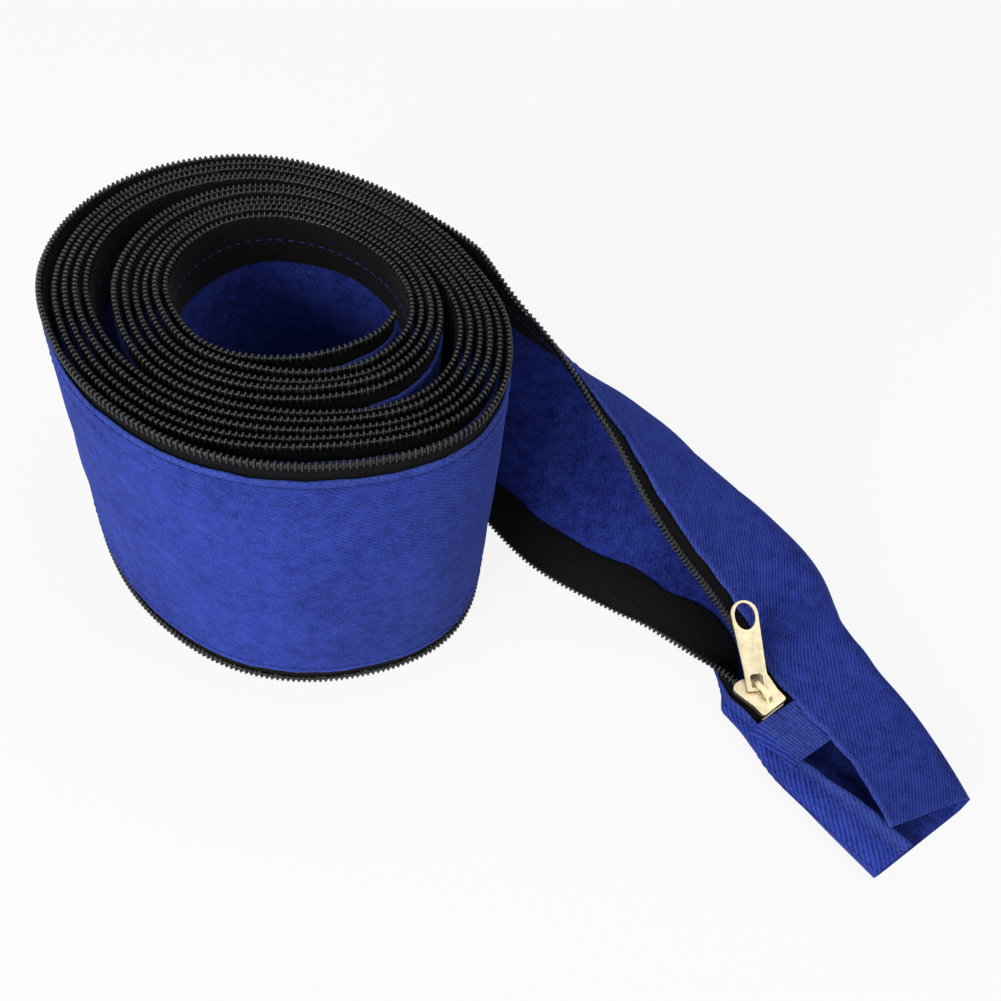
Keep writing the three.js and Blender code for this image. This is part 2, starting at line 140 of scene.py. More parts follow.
@dataclass
class Strip:
    """The open sleeve as one long strip: a roll on its edge, a run-off and a tube. Sizes in millimetres.

    A place on it is a distance s along it, a width w from the lower coil's edge to the upper one's,
    and a depth d through it, from the inner face (below zero) to the outer face.
    """

    width: int = 100
    origin: tuple[float, float] = (-76.237, 15.311)
    tip: float = 7
    run_off: float = 60
    full_turns: int = 10
    turns_covered: int = 11
    pitch: float = 2.2
    hole: tuple[float, ...] = (30.4, 32.5, 32.2, 32.9, 33.5, 31.7, 29.3, 25.5, 23.7, 22.7, 23.6, 26.1)
    outer: tuple[float, ...] = (64.6, 57.6, 56.8, 59.6, 64.8, 68, 65.2, 58.9, 56.9, 59.8, 64.4, 70.3)
    pockets: tuple[tuple[float, float, float, float], ...] = (
        (1, 325, 75, 4.5), (5, 335, 75, 4.0), (6, 165, 80, 6.0), (10, 160, 65, 2.5), (10, 298, 55, 3.0))
    sections: tuple[Section, ...] = (
        Section((46.5, 35.5), -40, 90, 88, 91),
        Section((61.2, 17.3), -41, 79, 73, 111, 12, 60),
        Section((82.9, -2.6), -40, 59, 35, 151, 12, 62),
        Section((108.7, -13.6), -40, 73, 22, 170, 12, 58),
        Section((129.5, -21.4), -43, 46, 6, 185, 11, 55, 8, 12.5),
        Section((140.9, -32), -47, -45, 5, 189, 7, 58, 6.5, 10),
        Section((149.2, -37.6), -48, -168, 10, 190, 10.5, 58, 7, 8.5, (2.6, 0)),
        Section((158, -44.8), -48, -168, 10, 190, 11.5, 59, 7, 8, (0.4, 0)),
        Section((169.8, -55.6), -47, -170, 8, 185, 14.5, 59, 7, 7.5, (-1, 0.6)),
        Section((200, -80.5), -48, -172, 5, 176, 17, 58.5, 7.5, 7),
    )
    roll_stations: int = 1250
    tail_stations: int = 420
    ease_reach: int = 75
    ease_spread: float = 27
    ease_from: float = 4.1
    ease_to: float = 7.45
    base: np.ndarray = field(init=False)
    normal: np.ndarray = field(init=False)
    along: np.ndarray = field(init=False)
    place: np.ndarray = field(init=False)

    def __post_init__(self) -> None:
        """Lay out every station of the strip."""
        turns = self.full_turns + self.share(self.run_off)
        t = np.linspace(0, turns, self.roll_stations)
        roll = self._lay(self._roll_rows(t))
        end = self._roll_rows(np.array([turns]))[0]
        rows = np.array([end] + [s.row() for s in self.sections])
        u = np.linspace(0, len(self.sections), self.tail_stations)[1:]
        tail = self._lay(eased(rows, u))
        self.base, self.normal = (np.concatenate(pair) for pair in zip(roll, tail))
        self.place = np.concatenate([t - turns, u])
        lines = self.base[:, (15, 50, 85)]
        steps = np.linalg.norm(np.diff(lines, axis=0), axis=2).mean(1)
        self.along = np.concatenate([[0], np.cumsum(steps)])
        self._settle()

    def share(self, direction: float) -> float:
        """Share of a turn, wound clockwise from the tip, at a compass direction in degrees."""
        return ((self.tip - direction) % 360) / 360

    def _slack(self, direction: np.ndarray, turns: np.ndarray) -> np.ndarray:
        """How far a turn stands off the turns inside it.

        Args:
            direction: compass directions in degrees.
            turns: turns from the tip.

        Returns:
            The stand-off at each place in millimetres.
        """
        total = np.zeros(np.broadcast(direction, turns).shape)
        for after, middle, spread, depth in self.pockets:
            off = np.abs((direction - middle + 540) % 360 - 180)
            reach = np.where(off < spread, np.cos(np.radians(np.minimum(off / spread, 1) * 90)) ** 2, 0)
            total = total + depth * reach * smooth(turns - (after - 1 + self.share(middle)))
        return total

    def _radius(self, turns: np.ndarray) -> np.ndarray:
        """Distance from the roll's centre.

        Args:
            turns: turns from the tip.

        Returns:
            The distance in millimetres.
        """
        direction = (self.tip - 360 * turns) % 360
        hole, outer = around(self.hole, direction / 30), around(self.outer, direction / 30)
        tight = hole + self.turns_covered * self.pitch + self._slack(direction, np.array(22.0))
        ease = np.maximum(0, outer - tight) / self.turns_covered
        return hole + turns * (self.pitch + ease) + self._slack(direction, turns)

    def _roll_rows(self, t: np.ndarray) -> np.ndarray:
        """Upright sections of the roll.

        Args:
            t: their places, in turns from the tip.

        Returns:
            One row of section sizes per place.
        """
        def plan(x: np.ndarray) -> np.ndarray:
            """Ground plan of the roll."""
            a, r = np.radians(self.tip - 360 * x), self._radius(x)
            return np.stack([r * np.cos(a), r * np.sin(a)], 1)
        here, step = plan(t), plan(t + 0.004) - plan(t - 0.004)
        heading = np.degrees(np.arctan2(step[:, 1], step[:, 0]))
        rows = np.tile(Section((0, 0), 0).row(), (len(t), 1))
        rows[:, :2], rows[:, 2] = here, heading
        return rows

    def _lay(self, rows: np.ndarray) -> tuple[np.ndarray, np.ndarray]:
        """Bring sections into space.

        Args:
            rows: one row of section sizes per station.

        Returns:
            Points of zero depth and outward directions, for each station and each whole width.
        """
        x, y, heading, lip, back, flap, low, high, ls, hs, gu, gz, join = (rows[:, k:k + 1] for k in range(13))
        w = np.arange(self.width + 1.0)
        slope = np.radians(lip + (back - lip) * smooth((w - low + ls) / (2 * ls))
                           + (flap - back) * smooth((w - high + hs) / (2 * hs)))
        zero = np.zeros((len(rows), 1))
        u = np.concatenate([zero, np.cumsum(np.cos(slope)[:, :-1], 1)], 1)
        z = np.concatenate([zero, np.cumsum(np.sin(slope)[:, :-1], 1)], 1)
        share = smooth((w / self.width - 0.2) / 0.6)
        join = np.clip(join, 0, 1)
        u, z = u + (gu - u[:, -1:]) * join * share, z + (gz - z[:, -1:]) * join * share
        z = z - (z - np.abs(np.cos(slope))).min(1, keepdims=True)
        h = np.radians(heading)
        ax, ay = -np.sin(h), np.cos(h)
        base = np.stack([x + ax * u + self.origin[0], y + ay * u + self.origin[1], z], 2)
        normal = np.stack([ax * np.sin(slope), ay * np.sin(slope), -np.cos(slope)], 2)
        return base, normal

    def _settle(self) -> None:
        """Give the strip the small unevenness of cloth that was rolled up by hand."""
        s, w = self.along[:, None], np.arange(self.width + 1.0)[None]
        roll = smooth(-self.place / 0.15)[:, None]
        lift = 0.7 + 0.7 * np.sin(s / 41 + 1.3) * np.sin(s / 149)
        self.base[..., 2] += lift * roll * smooth(s / 25)
        angle = 2 * np.pi * self.place[:, None]
        sway = 0.8 * np.sin(angle + 0.6) * np.sin(np.pi * w / 100 + 0.4) + 0.5 * np.sin(3 * angle + w / 21)
        sway = sway + 0.3 * np.sin(2 * angle + w / 4.3) * np.sin(np.pi * w / 100) ** 2 * np.sin(angle + w / 30)
        self.base += self.normal * (sway * roll)[..., None]
        self._soften()
        tail = smooth(self.place / 0.8)[:, None]
        ends = smooth((9.9 - self.place) / 1.5)[:, None]
        flap = smooth((w - 58) / 12) * smooth((100 - w) / 6)
        back = smooth((w - 14) / 10) * smooth((60 - w) / 10)
        near = np.exp(-((self.place[:, None] - 6.6) / 1.3) ** 2)
        folds = (0.55 * np.sin(s / 7.3 + w / 9.0) * near * (flap + 0.7 * back)
                 + 0.45 * np.sin(s / 15.0 - w / 13.0 + 1.1) * flap
                 + 0.6 * np.sin(s / 19.0 + w / 17.0) * back)
        self.base += self.normal * (folds * tail * ends)[..., None]

    def _soften(self) -> None:
        """Ease the change from the open run-off to the closed tube over more of its length."""
        far = self.ease_reach
        weight = np.exp(-0.5 * (np.arange(-far, far + 1) / self.ease_spread) ** 2)
        weight /= weight.sum()
        share = smooth((self.place - self.ease_from) / 0.9) * smooth((self.ease_to - self.place) / 0.6)
        for grid in (self.base, self.normal):
            ends = np.pad(grid, ((far, far), (0, 0), (0, 0)), mode="edge")
            soft = sum(k * ends[j:j + len(grid)] for j, k in enumerate(weight))
            grid += (soft - grid) * share[:, None, None]
        self.normal /= np.linalg.norm(self.normal, axis=2, keepdims=True)

    def index(self, s: np.ndarray) -> np.ndarray:
        """Fractional station numbers at distances s along the strip."""
        return np.interp(s, self.along, np.arange(len(self.along)))

    def point(self, station: np.ndarray, w: np.ndarray, d: np.ndarray) -> np.ndarray:
        """Places on the strip.

        Args:
            station: fractional station numbers.
            w: widths in millimetres.
            d: depths in millimetres.

        Returns:
            Points in millimetres, with the inputs' common shape and one more axis.
        """
        station, w, d = np.broadcast_arrays(station, w, d)
        i = np.clip(np.floor(station).astype(int), 0, len(self.base) - 2)
        j = np.clip(np.floor(w).astype(int), 0, self.width - 1)
        f, g = (station - i)[..., None], (w - j)[..., None]

        def mix(grid: np.ndarray) -> np.ndarray:
            """Value between the four nearest entries of a grid."""
            a = grid[i, j] * (1 - g) + grid[i, j + 1] * g
            b = grid[i + 1, j] * (1 - g) + grid[i + 1, j + 1] * g
            return a * (1 - f) + b * f
        return mix(self.base) + mix(self.normal) * d[..., None]

    def station_at(self, place: float) -> float:
        """Fractional station number at a place of the tail, where 0 is the roll's end and 10 the mouth."""
        return float(np.interp(place, self.place, np.arange(len(self.place))))


def new_piece(name: str, points: np.ndarray, faces: Sequence[Sequence[int]], uv: np.ndarray | None = None,
              soft: bool = True) -> bpy.types.Object:
    """Make a mesh object whose place is in its mesh.

    Args:
        name: the piece's name.
        points: vertices in metres.
        faces: vertex numbers of each face.
        uv: for each vertex, distance along and across the strip in metres.
        soft: whether the faces are shaded smooth.

    Returns:
        The new object, linked to the scene.
    """
    mesh = bpy.data.meshes.new(name)
    mesh.from_pydata([tuple(p) for p in points], [], [tuple(f) for f in faces])
    if uv is not None:
        layer = mesh.uv_layers.new(name="strip")
        corner = np.empty(len(mesh.loops), dtype=np.int32)
        mesh.loops.foreach_get("vertex_index", corner)
        layer.data.foreach_set("uv", uv[corner].astype(np.float32).ravel())
    mesh.polygons.foreach_set("use_smooth", [soft] * len(mesh.polygons))
    mesh.update()
    piece = bpy.data.objects.new(name, mesh)
    bpy.context.scene.collection.objects.link(piece)
    return piece


def enclosed(points: np.ndarray, faces: np.ndarray) -> float:
    """Signed volume inside closed quads, above zero when they face outwards."""
    a, b, c, d = (points[faces[:, k]] for k in range(4))
    return float((np.einsum("ij,ij->i", a, np.cross(b, c)) + np.einsum("ij,ij->i", a, np.cross(c, d))).sum())


def ribbon(name: str, strip: Strip, stations: np.ndarray, outer: np.ndarray, inner: np.ndarray) -> bpy.types.Object:
    """Closed ribbon along the strip.

    Args:
        name: the piece's name.
        strip: the strip that it follows.
        stations: fractional station numbers, in order, for each row or for each row and width.
        outer: for each station, pairs of width and depth of the outer face.
        inner: the same for the inner face, with as many pairs.

    Returns:
        The ribbon's object.
    """
    ring = np.concatenate([outer, inner[:, ::-1]], 1)
    k, m = ring.shape[:2]
    if stations.ndim == 1:
        stations = np.broadcast_to(stations[:, None], (k, m // 2))
    stations = np.concatenate([stations, stations[:, ::-1]], 1)
    points = strip.point(stations, ring[..., 0], ring[..., 1]).reshape(-1, 3) * MM
    distance = np.interp(stations, np.arange(len(strip.along)), strip.along)
    uv = np.stack([distance.ravel(), ring[..., 0].ravel()], 1) * MM
    rows, cols = np.meshgrid(np.arange(k - 1) * m, np.arange(m), indexing="ij")
    nxt = (cols + 1) % m
    sides = np.stack([rows + cols, rows + nxt, rows + m + nxt, rows + m + cols], -1).reshape(-1, 4)
    half = np.arange(m // 2 - 1)
    first = np.stack([half, m - 1 - half, m - 2 - half, half + 1], 1)
    last = first[:, ::-1] + (k - 1) * m
    faces = np.concatenate([sides, first, last])
    if enclosed(points, faces) < 0:
        faces = faces[:, ::-1]
    return new_piece(name, points, faces.tolist(), uv)


class Board:
    """Node tree of one material, with short calls that add nodes and join them."""

    def __init__(self, name: str) -> None:
        """Start an empty material with its output node."""
        self.material = bpy.data.materials.new(name)
        self.material.use_nodes = True
        self.tree = self.material.node_tree
        self.tree.nodes.clear()
        self.output = self.tree.nodes.new("ShaderNodeOutputMaterial")

    def add(self, kind: str, inputs: dict | None = None, **settings: object) -> bpy.types.Node:
        """Add a node.

        Args:
            kind: the node's type.
            inputs: values or sockets for its inputs, by name or number.
            settings: the node's own settings.

        Returns:
            The node.
        """
        node = self.tree.nodes.new(kind)
        for key, value in settings.items():
            setattr(node, key, value)
        for key, value in (inputs or {}).items():
            if isinstance(value, bpy.types.NodeSocket):
                self.tree.links.new(value, node.inputs[key])
            else:
                node.inputs[key].default_value = value
        return node

    def math(self, operation: str, *values: object) -> bpy.types.NodeSocket:
        """Result of a math node on numbers or sockets."""
        return self.add("ShaderNodeMath", dict(enumerate(values)), operation=operation).outputs[0]

    def noise(self, coordinate: bpy.types.NodeSocket, scale: float, detail: float = 2.0) -> bpy.types.NodeSocket:
        """Noise between about 0 and 1 at so many cells per metre."""
        inputs = {"Vector": coordinate, "Scale": scale, "Detail": detail}
        return self.add("ShaderNodeTexNoise", inputs).outputs[0]

    def ramp(self, value: bpy.types.NodeSocket, low: float, high: float) -> bpy.types.NodeSocket:
        """Value brought from low..high to 0..1, held at both ends."""
        inputs = {0: value, 1: low, 2: high, 3: 0.0, 4: 1.0}
        return self.add("ShaderNodeMapRange", inputs, clamp=True).outputs[0]

    def blend(self, share: object, a: object, b: object) -> bpy.types.NodeSocket:
        """Blend two colours.

        Args:
            share: the second colour's share, a number or socket.
            a: the first colour or socket.
            b: the second colour or socket.

        Returns:
            The blended colour's socket.
        """
        node = self.add("ShaderNodeMix", data_type="RGBA")
        for key, value in ((0, share), (6, a), (7, b)):
            if isinstance(value, bpy.types.NodeSocket):
                self.tree.links.new(value, node.inputs[key])
            else:
                node.inputs[key].default_value = value
        return node.outputs[2]

    def finish(self, shader: bpy.types.Node) -> bpy.types.Material:
        """Join the shader to the output and hand over the material."""
        self.tree.links.new(shader.outputs[0], self.output.inputs["Surface"])
        return self.material


def colour(r: float, g: float, b: float) -> tuple[float, float, float, float]:
    """Opaque colour from linear parts."""
    return (r, g, b, 1.0)


@dataclass(frozen=True)
class Twill:
    """Brushed cotton twill, its ribs slanting across the strip, with the ribs' light and shade and a highlight on the
    hems' folds painted into its colour.
    """

    name: str = "blue_twill"
    # The next two colours paint the twill's relief: the lit blue of the rib tops and a painted shade for the valleys
    # between the ribs.
    rib: tuple = colour(0.036, 0.066, 0.42)
    valley_shade: tuple = colour(0.0045, 0.009, 0.095)
    # Painted highlight for the rounded fold along each hem.
    hem_fold_highlight: tuple = colour(0.10, 0.16, 0.56)
    rib_pitch: float = 0.00115
    rib_angle: float = -33.0
    hem: float = 0.0065
    rib_share: float = 0.62
    fuzz_share: float = 0.36
    speck_share: float = 0.30
    # Share of the ribs' painted light and shade that the roll keeps; the tail keeps all of it.
    roll_rib_contrast: float = 0.38
    roll_end: float = 3.10

    def make(self) -> bpy.types.Material:
        """Build the material.

        Returns:
            The material.
        """
        b = Board(self.name)
        strip = b.add("ShaderNodeUVMap", uv_map="strip").outputs[0]
        place = b.add("ShaderNodeTexCoord").outputs["Object"]
        turned = b.add("ShaderNodeMapping", {"Vector": strip, "Rotation": (0, 0, math.radians(self.rib_angle))})
        rib_scale = math.pi / 10 / self.rib_pitch
        ribs = b.add("ShaderNodeTexWave", {"Vector": turned.outputs[0], "Scale": rib_scale, "Distortion": 1.1,
                                           "Detail": 2.0, "Detail Scale": 1.4}, bands_direction="Y").outputs["Fac"]
        yarn = b.add("ShaderNodeTexWave", {"Vector": strip, "Scale": rib_scale * 1.7, "Distortion": 0.8,
                                           "Detail": 1.0}, bands_direction="X").outputs["Fac"]
        fuzz, mottle, cloud = b.noise(place, 1500, 4), b.noise(place, 260, 3), b.noise(place, 38, 3)
        run = b.add("ShaderNodeSeparateXYZ", {"Vector": strip})
        # Weaken the ribs' painted light and shade on the roll; from roll_end on, along the tail, it is at full
        # strength.
        crisp = b.math("ADD", self.roll_rib_contrast, b.math("MULTIPLY", b.ramp(
            run.outputs[0], self.roll_end, self.roll_end + 0.05), 1 - self.roll_rib_contrast))
        level = b.math("ADD", b.math("MULTIPLY", b.math("SUBTRACT", ribs, 0.5), crisp), 0.5)
        lit = b.math("MULTIPLY", level, self.rib_share)
        lit = b.math("ADD", lit, b.math("MULTIPLY", yarn, 0.12))
        specks = b.math("MULTIPLY", b.ramp(b.noise(place, 1050, 2), 0.60, 0.70), self.speck_share)
        lit = b.math("ADD", b.math("SUBTRACT", lit, 0.06), specks)
        lit = b.math("ADD", lit, b.math("MULTIPLY", b.ramp(fuzz, 0.36, 0.66), self.fuzz_share))
        lit = b.math("ADD", lit, b.math("MULTIPLY", b.ramp(mottle, 0.3, 0.75), self.fuzz_share))
        lit = b.math("SUBTRACT", lit, b.math("MULTIPLY", b.ramp(cloud, 0.35, 0.75), 0.22))
        # The rib wave paints light on the rib tops and shade in the valleys; yarn, specks, fuzz, mottle and cloud are
        # the cloth's own uneven tone.
        base = b.blend(lit, self.valley_shade, self.rib)
        # Painted highlight on the rounded fold of each hem, fading in over the outer 2 mm of the cloth and broken up
        # by the fuzz noise.
        from_middle = b.math("ABSOLUTE", b.math("SUBTRACT", run.outputs[1], 0.05))
        edge = b.ramp(from_middle, 0.05 - self.hem - 0.0022, 0.05 - self.hem - 0.0002)
        edge = b.math("MULTIPLY", edge, b.ramp(fuzz, 0.2, 0.7))
        base = b.blend(b.math("MULTIPLY", edge, 0.35), base, self.hem_fold_highlight)
        height = b.math("ADD", b.math("MULTIPLY", level, self.rib_share * 1.1), b.math("MULTIPLY", fuzz, 0.7))
        height = b.math("ADD", height, b.math("MULTIPLY", mottle, 0.5))
        bump = b.add("ShaderNodeBump", {"Height": height, "Strength": 0.75, "Distance": 0.00028})
        return b.finish(b.add("ShaderNodeBsdfPrincipled", {
            "Base Color": base, "Roughness": 0.92, "Normal": bump.outputs[0], "Sheen Weight": 0.14,
            "Sheen Roughness": 0.45, "Sheen Tint": colour(0.30, 0.40, 1.0), "Specular IOR Level": 0.12}))


@dataclass(frozen=True)
class WovenTape:
    """Black zip tape with a fine cross rib and a little lint."""

    name: str = "black_tape"
    dark: tuple = colour(0.0022, 0.0022, 0.0028)
    pale: tuple = colour(0.008, 0.008, 0.0095)
    rib_pitch: float = 0.00062

    def make(self) -> bpy.types.Material:
        """Build the material.

        Returns:
            The material.
        """
        b = Board(self.name)
        strip = b.add("ShaderNodeUVMap", uv_map="strip").outputs[0]
        place = b.add("ShaderNodeTexCoord").outputs["Object"]
        scale = math.pi / 10 / self.rib_pitch
        cross = b.add("ShaderNodeTexWave", {"Vector": strip, "Scale": scale, "Distortion": 0.6}).outputs["Fac"]
        length = b.add("ShaderNodeTexWave", {"Vector": strip, "Scale": scale * 0.8, "Distortion": 0.6},
                       bands_direction="Y").outputs["Fac"]
        weave = b.math("MULTIPLY", cross, length)
        lint = b.noise(place, 900, 4)
        # Paler on the weave's raised crossings, a painted highlight, and paler where lint lies, the tape's own tone.
        base = b.blend(b.math("ADD", b.math("MULTIPLY", weave, 0.45), b.ramp(lint, 0.52, 0.85)), self.dark, self.pale)
        height = b.math("ADD", weave, b.math("MULTIPLY", lint, 0.5))
        bump = b.add("ShaderNodeBump", {"Height": height, "Strength": 0.6, "Distance": 0.0002})
        return b.finish(b.add("ShaderNodeBsdfPrincipled", {
            "Base Color": base, "Roughness": 0.88, "Normal": bump.outputs[0], "Sheen Weight": 0.03,
            "Sheen Roughness": 0.5, "Specular IOR Level": 0.09}))


@dataclass(frozen=True)
class Nylon:
    """Black nylon wire of the coils, satin with dusty places."""

    name: str = "black_nylon"
    dark: tuple = colour(0.0035, 0.0035, 0.004)
    dusty: tuple = colour(0.020, 0.020, 0.021)

    def make(self) -> bpy.types.Material:
        """Build the material.

        Returns:
            The material.
        """
        b = Board(self.name)
        place = b.add("ShaderNodeTexCoord").outputs["Object"]
        dust = b.ramp(b.noise(place, 420, 4), 0.42, 0.8)
        base = b.blend(dust, self.dark, self.dusty)
        rough = b.math("ADD", 0.34, b.math("MULTIPLY", dust, 0.3))
        bump = b.add("ShaderNodeBump", {"Height": b.noise(place, 2600, 2), "Strength": 0.3, "Distance": 0.00006})
        return b.finish(b.add("ShaderNodeBsdfPrincipled", {
            "Base Color": base, "Roughness": rough, "Normal": bump.outputs[0], "Specular IOR Level": 0.5}))


@dataclass(frozen=True)
class Thread:
    """Navy sewing thread with its ply, painted lighter on the raised strands and darker in the grooves between them.
    """

    name: str = "navy_thread"
    dark: tuple = colour(0.010, 0.018, 0.12)
    light: tuple = colour(0.032, 0.060, 0.34)

    def make(self) -> bpy.types.Material:
        """Build the material.

        Returns:
            The material.
        """
        b = Board(self.name)
        place = b.add("ShaderNodeTexCoord").outputs["Object"]
        ply = b.add("ShaderNodeTexWave", {"Vector": place, "Scale": 900.0, "Distortion": 2.0},
                    bands_direction="DIAGONAL").outputs["Fac"]
        bump = b.add("ShaderNodeBump", {"Height": ply, "Strength": 0.5, "Distance": 0.00008})
        # The ply wave mixes the colours: lighter on the raised strands, painted shade in the grooves of the twist.
        return b.finish(b.add("ShaderNodeBsdfPrincipled", {
            "Base Color": b.blend(ply, self.dark, self.light), "Roughness": 0.7, "Normal": bump.outputs[0],
            "Specular IOR Level": 0.2}))


@dataclass(frozen=True)
class PaleGold:
    """Pale gold plating over a casting, satin with darker patches at random and small knocks."""

    name: str = "pale_gold"
    bright: tuple = colour(0.75, 0.66, 0.45)
    dull: tuple = colour(0.58, 0.49, 0.31)
    roughness: float = 0.30

    def make(self) -> bpy.types.Material:
        """Build the material.

        Returns:
            The material.
        """
        b = Board(self.name)
        place = b.add("ShaderNodeTexCoord").outputs["Object"]
        cloud, grain = b.noise(place, 420, 4), b.noise(place, 3800, 3)
        base = b.blend(b.ramp(cloud, 0.35, 0.8), self.bright, self.dull)
        rough = b.math("ADD", self.roughness, b.math("MULTIPLY", b.ramp(grain, 0.3, 0.8), 0.22))
        height = b.math("ADD", grain, b.math("MULTIPLY", cloud, 1.5))
        bump = b.add("ShaderNodeBump", {"Height": height, "Strength": 0.25, "Distance": 0.00008})
        return b.finish(b.add("ShaderNodeBsdfPrincipled", {
            "Base Color": base, "Metallic": 1.0, "Roughness": rough, "Normal": bump.outputs[0]}))


@dataclass(frozen=True)
class StudioFloor:
    """Plain pale floor that shows white to the camera and keeps the object's shadow."""

    name: str = "studio_floor"
    white_share: float = 0.88

    def make(self) -> bpy.types.Material:
        """Build the material.

        Returns:
            The material.
        """
        b = Board(self.name)
        path = b.add("ShaderNodeLightPath")
        seen = b.math("MAXIMUM", path.outputs["Is Camera Ray"],
                      b.math("MAXIMUM", path.outputs["Is Glossy Ray"], path.outputs["Is Transmission Ray"]))
        matt = b.add("ShaderNodeBsdfDiffuse", {"Color": colour(0.9, 0.9, 0.9)})
        glow = b.add("ShaderNodeEmission", {"Color": colour(1, 1, 1), "Strength": 1.0})
        share = b.math("MULTIPLY", seen, self.white_share)
        mix = b.add("ShaderNodeMixShader", {0: share, 1: matt.outputs[0], 2: glow.outputs[0]})
        return b.finish(mix)


class Repeater:
    """Geometry Nodes tree that sets one small swept wire on each point, turned by the point's own angles."""

    def __init__(self, name: str, sizes: dict[str, float], material: bpy.types.Material) -> None:
        """Build the tree.

        Args:
            name: the tree's name.
            sizes: named inputs and their values, in metres or radians.
            material: what the repeated shape is made of.
        """
        self.sizes, self.material = sizes, material
        self.tree = bpy.data.node_groups.new(name, "GeometryNodeTree")
        self.tree.interface.new_socket("Geometry", in_out="INPUT", socket_type="NodeSocketGeometry")
        self.keys = {label: self.tree.interface.new_socket(label, in_out="INPUT", socket_type="NodeSocketFloat")
                     .identifier for label in sizes}
        self.tree.interface.new_socket("Geometry", in_out="OUTPUT", socket_type="NodeSocketGeometry")
        self.start = self.tree.nodes.new("NodeGroupInput")
        angles = self.add("GeometryNodeInputNamedAttribute", {"Name": "angles"}, data_type="FLOAT_VECTOR")
        turn = self.add("FunctionNodeEulerToRotation", {0: angles.outputs[0]})
        placed = self.add("GeometryNodeInstanceOnPoints", {
            "Points": self.start.outputs["Geometry"], "Instance": self.shape(), "Rotation": turn.outputs[0]})
        real = self.add("GeometryNodeRealizeInstances", {0: placed.outputs[0]})
        soft = self.add("GeometryNodeSetShadeSmooth", {0: real.outputs[0]})
        dressed = self.add("GeometryNodeSetMaterial", {"Geometry": soft.outputs[0], "Material": material})
        end = self.tree.nodes.new("NodeGroupOutput")
        self.tree.links.new(dressed.outputs[0], end.inputs[0])

    def add(self, kind: str, inputs: dict | None = None, **settings: object) -> bpy.types.Node:
        """Add a node with values or links for its inputs."""
        return Board.add(self, kind, inputs, **settings)

    def shape(self) -> bpy.types.NodeSocket:
        """The repeated shape; each kind of repeater gives its own."""
        raise NotImplementedError

    def run(self, points: np.ndarray, angles: np.ndarray) -> tuple[np.ndarray, list[tuple[int, ...]]]:
        """Repeat the shape.

        Args:
            points: where each one goes, in metres.
            angles: how each one is turned, in radians about x, y and z.

        Returns:
            Vertices and faces of the result.
        """
        mesh = bpy.data.meshes.new(self.tree.name)
        mesh.from_pydata([tuple(p) for p in points], [], [])
        mesh.attributes.new("angles", "FLOAT_VECTOR", "POINT").data.foreach_set(
            "vector", angles.astype(np.float32).ravel())
        carrier = bpy.data.objects.new(self.tree.name, mesh)
        bpy.context.scene.collection.objects.link(carrier)
        modifier = carrier.modifiers.new("repeat", "NODES")
        modifier.node_group = self.tree
        for label, key in self.keys.items():
            modifier[key] = self.sizes[label]
        graph = bpy.context.evaluated_depsgraph_get()
        made = bpy.data.meshes.new_from_object(carrier.evaluated_get(graph), depsgraph=graph)
        flat = np.empty(len(made.vertices) * 3, dtype=np.float32)
        made.vertices.foreach_get("co", flat)
        faces = [tuple(p.vertices) for p in made.polygons]
        bpy.data.objects.remove(carrier)
        bpy.data.meshes.remove(made)
        return flat.reshape(-1, 3).astype(float), faces


class ToothRepeater(Repeater):
    """One turn of a coil: a flat loop of round wire, leaning the way that a helix does."""

    def shape(self) -> bpy.types.NodeSocket:
        """Ellipse of wire across the strip.

        Returns:
            The swept wire's socket.
        """
        ring = self.add("GeometryNodeCurvePrimitiveCircle", {"Resolution": 10, "Radius": 1.0})
        size = self.add("ShaderNodeCombineXYZ", {0: self.start.outputs["Half width"],
                                                 1: self.start.outputs["Half height"], 2: 1.0})
        oval = self.add("GeometryNodeTransform", {"Geometry": ring.outputs[0], "Scale": size.outputs[0]})
        lean = self.add("ShaderNodeCombineXYZ", {0: self.start.outputs["Lean"]})
        leaning = self.add("GeometryNodeTransform", {"Geometry": oval.outputs[0], "Rotation": lean.outputs[0]})
        wire = self.add("GeometryNodeCurvePrimitiveCircle",
                        {"Resolution": 4, "Radius": self.start.outputs["Wire radius"]})
        swept = self.add("GeometryNodeCurveToMesh", {"Curve": leaning.outputs[0], "Profile Curve": wire.outputs[0]})
        return swept.outputs[0]


class StitchRepeater(Repeater):
    """One stitch: a short arched thread that goes into the cloth at both ends."""

    def shape(self) -> bpy.types.NodeSocket:
        """Arc of thread along x, arched towards z.

        Returns:
            The swept thread's socket.
        """
        half = self.start.outputs["Half length"]
        back = self.add("ShaderNodeMath", {0: half, 1: -1.0}, operation="MULTIPLY")
        depth = self.add("ShaderNodeMath", {0: self.start.outputs["Thread radius"], 1: -0.8}, operation="MULTIPLY")
        ends = [self.add("ShaderNodeCombineXYZ", {0: x, 2: depth.outputs[0]}) for x in (back.outputs[0], half)]
        top = self.add("ShaderNodeCombineXYZ", {2: self.start.outputs["Arch"]})
        arc = self.add("GeometryNodeCurveQuadraticBezier", {
            "Resolution": 4, "Start": ends[0].outputs[0], "Middle": top.outputs[0], "End": ends[1].outputs[0]})
        wire = self.add("GeometryNodeCurvePrimitiveCircle",
                        {"Resolution": 5, "Radius": self.start.outputs["Thread radius"]})
        swept = self.add("GeometryNodeCurveToMesh", {
            "Curve": arc.outputs[0], "Profile Curve": wire.outputs[0], "Fill Caps": True})
        return swept.outputs[0]


